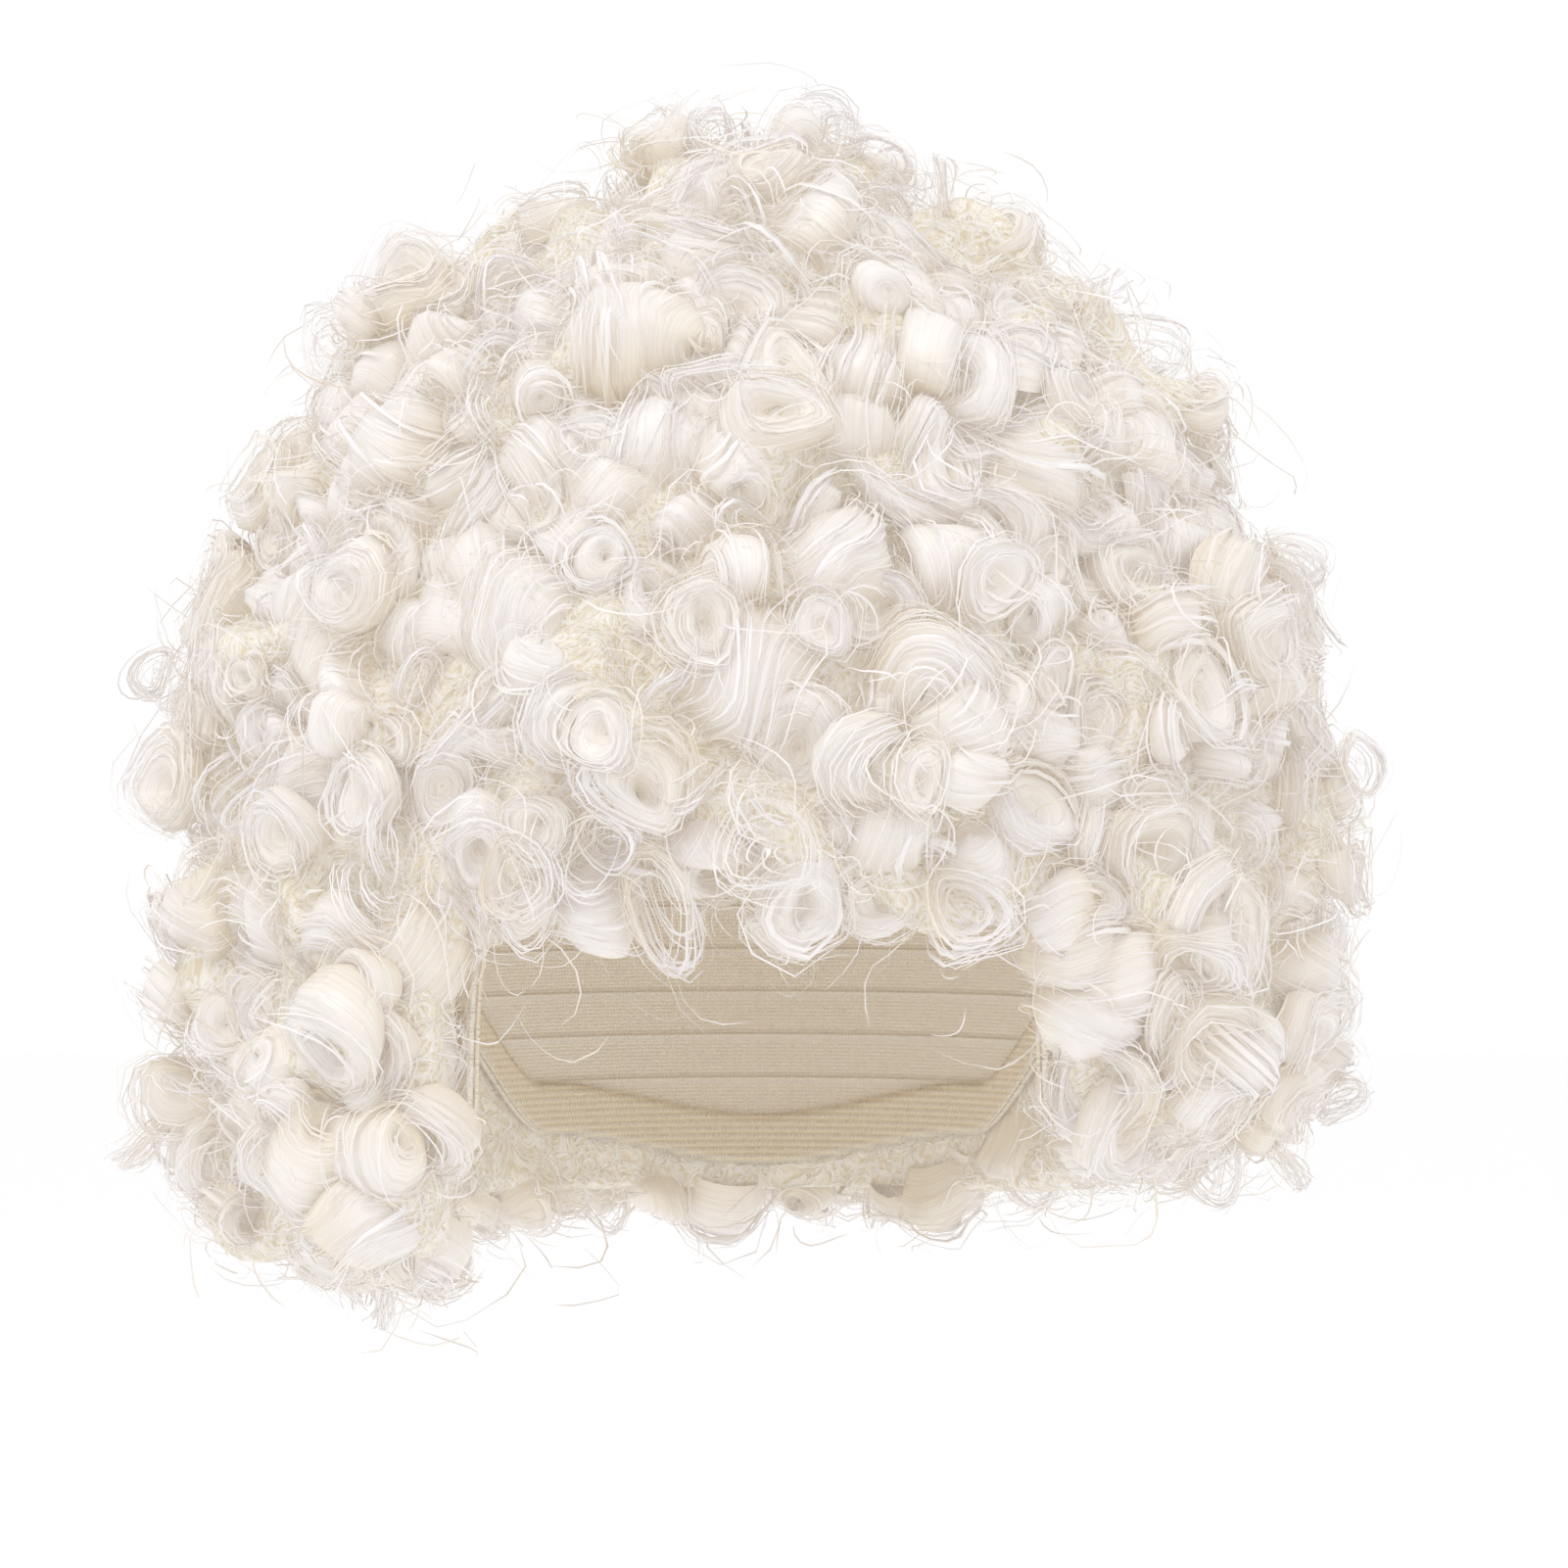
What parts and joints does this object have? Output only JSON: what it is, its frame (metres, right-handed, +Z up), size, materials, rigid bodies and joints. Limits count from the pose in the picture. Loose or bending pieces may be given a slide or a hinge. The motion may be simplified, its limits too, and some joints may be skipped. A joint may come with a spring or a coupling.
{
  "type": "party wig",
  "caption": "White curly party wig in the shape it has when worn: a stretch cap with an elastic hem, covered in short springy curls and open at the face.",
  "frame": {"origin": "the point inside the cap that the crown of the wearer's head touches", "axes": "+Z up, -Y the way the wearer faces, +X to the wearer's left"},
  "size_m": [0.264, 0.2762, 0.2544],
  "materials": {
    "cap_knit": "matte stretch knit, pale yellow",
    "hem_elastic": "matte woven elastic, pale yellow",
    "hair_fibre": "soft sheen of fine synthetic fibre, ivory white"
  },
  "bodies": {
    "root": {"cap": "cap_knit", "hem_band": "hem_elastic", "crown_hair": "hair_fibre", "fringe_hair": "hair_fibre", "right_side_hair": "hair_fibre", "left_side_hair": "hair_fibre", "back_hair": "hair_fibre", "nape_hair": "hair_fibre"}
  },
  "joints": []
}
